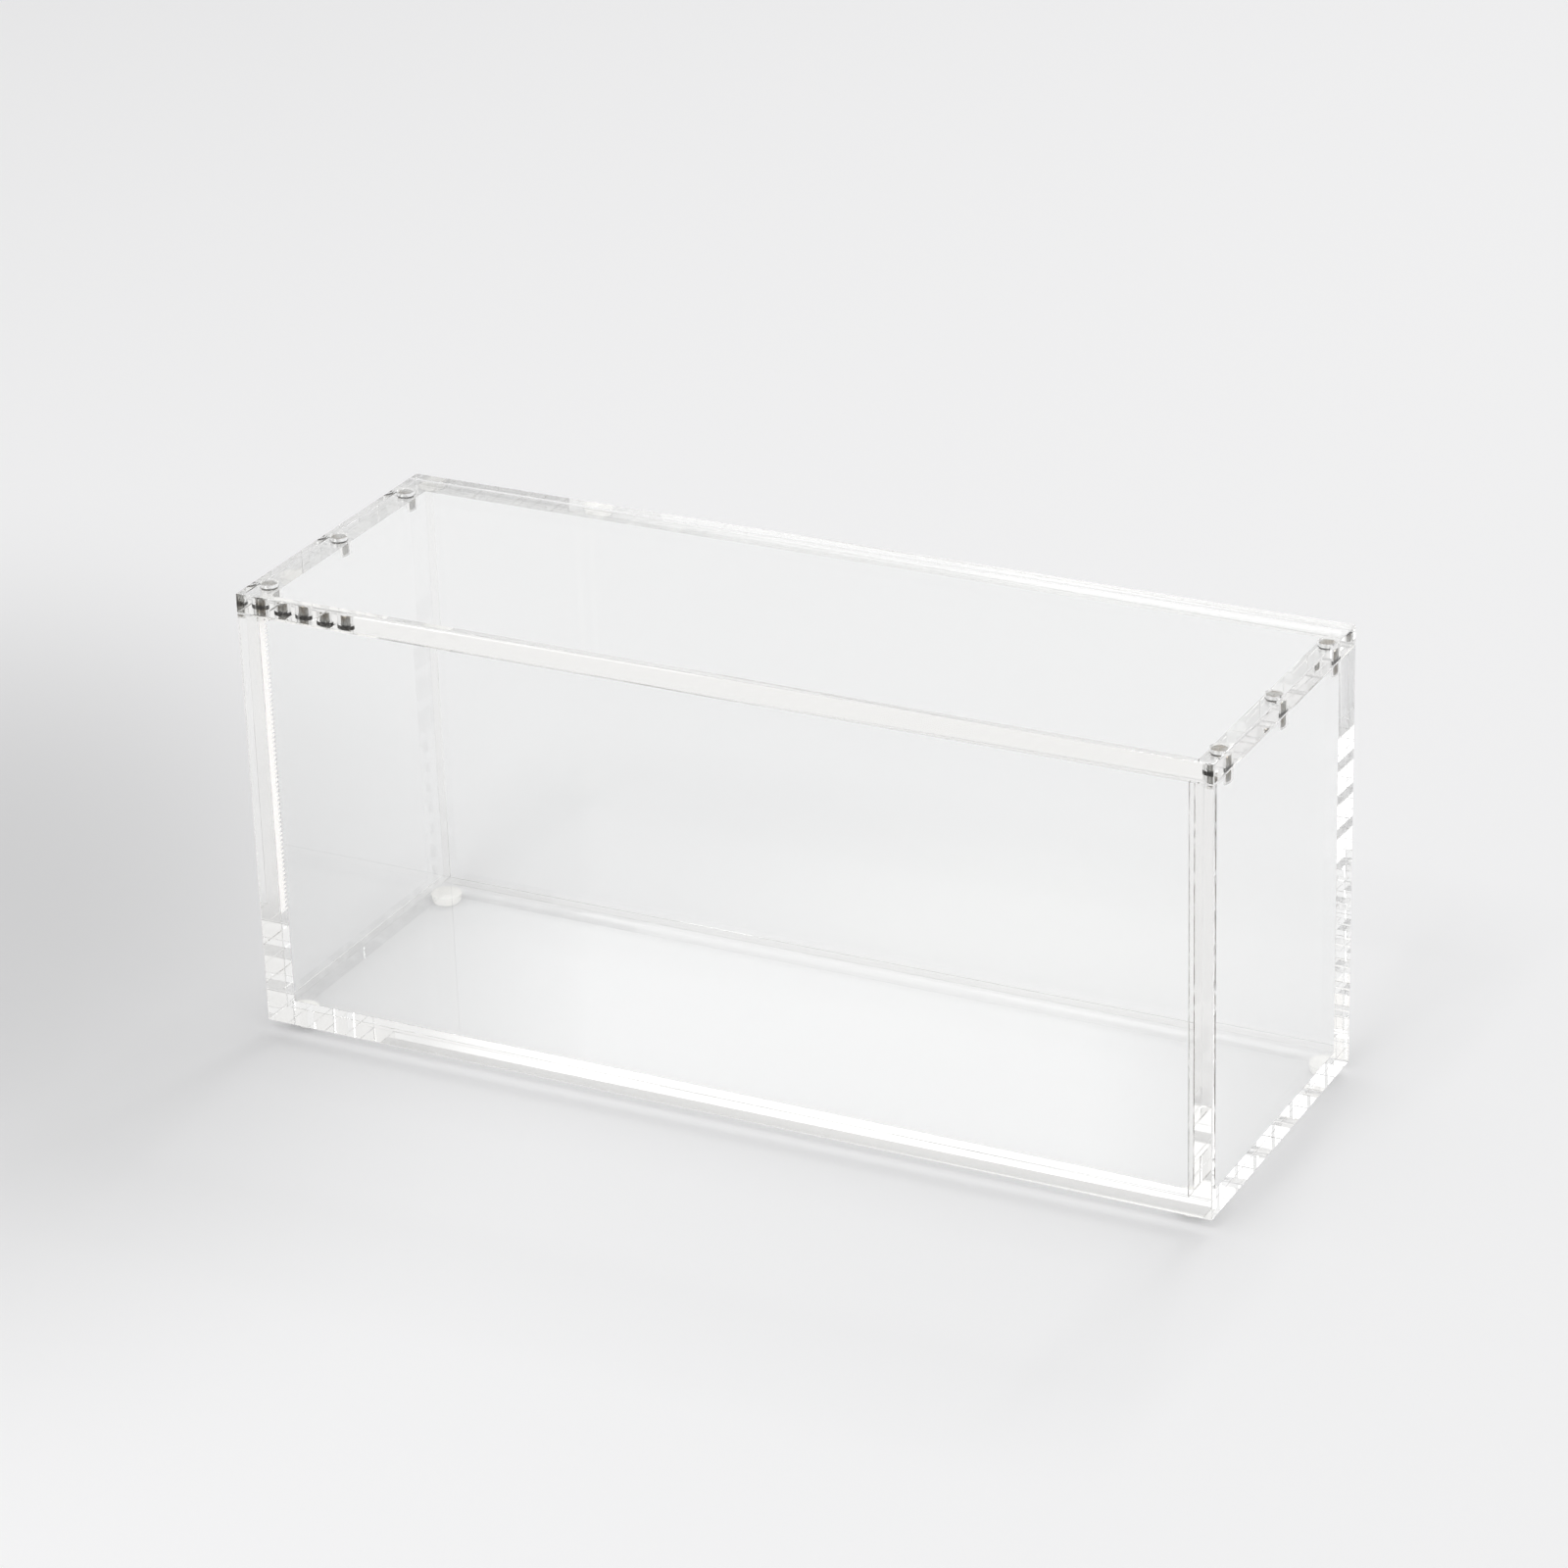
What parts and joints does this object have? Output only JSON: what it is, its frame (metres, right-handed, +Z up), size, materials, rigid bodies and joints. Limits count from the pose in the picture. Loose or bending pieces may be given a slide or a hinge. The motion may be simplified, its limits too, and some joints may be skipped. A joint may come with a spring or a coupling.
{
  "type": "acrylic display case",
  "caption": "Long clear acrylic display case with a lift-off lid that magnets in its short walls hold down, standing on clear bumper feet.",
  "frame": {"origin": "middle of the plane that the feet stand on, under the centre of the case", "axes": "+X along the length to the right, -Y towards the front, +Z up"},
  "size_m": [0.254, 0.086, 0.1178],
  "materials": {
    "clear_acrylic": "polished",
    "nickel_plate": "satin",
    "clear_rubber": "satin"
  },
  "bodies": {
    "case": {"base_panel": "clear_acrylic", "front_wall": "clear_acrylic", "back_wall": "clear_acrylic", "left_wall": "clear_acrylic", "right_wall": "clear_acrylic", "wall_magnet_left_front": "nickel_plate", "wall_magnet_left_middle": "nickel_plate", "wall_magnet_left_back": "nickel_plate", "wall_magnet_right_front": "nickel_plate", "wall_magnet_right_middle": "nickel_plate", "wall_magnet_right_back": "nickel_plate", "foot_front_left": "clear_rubber", "foot_front_right": "clear_rubber", "foot_back_left": "clear_rubber", "foot_back_right": "clear_rubber"},
    "lid": {"lid_panel": "clear_acrylic", "lid_magnet_left_front": "nickel_plate", "lid_magnet_left_middle": "nickel_plate", "lid_magnet_left_back": "nickel_plate", "lid_magnet_right_front": "nickel_plate", "lid_magnet_right_middle": "nickel_plate", "lid_magnet_right_back": "nickel_plate"}
  },
  "joints": [
    {"name": "lid_lift", "type": "slide", "parent": "case", "child": "lid", "axis": [0, 0, 1], "range_m": [0, 0.06]}
  ]
}
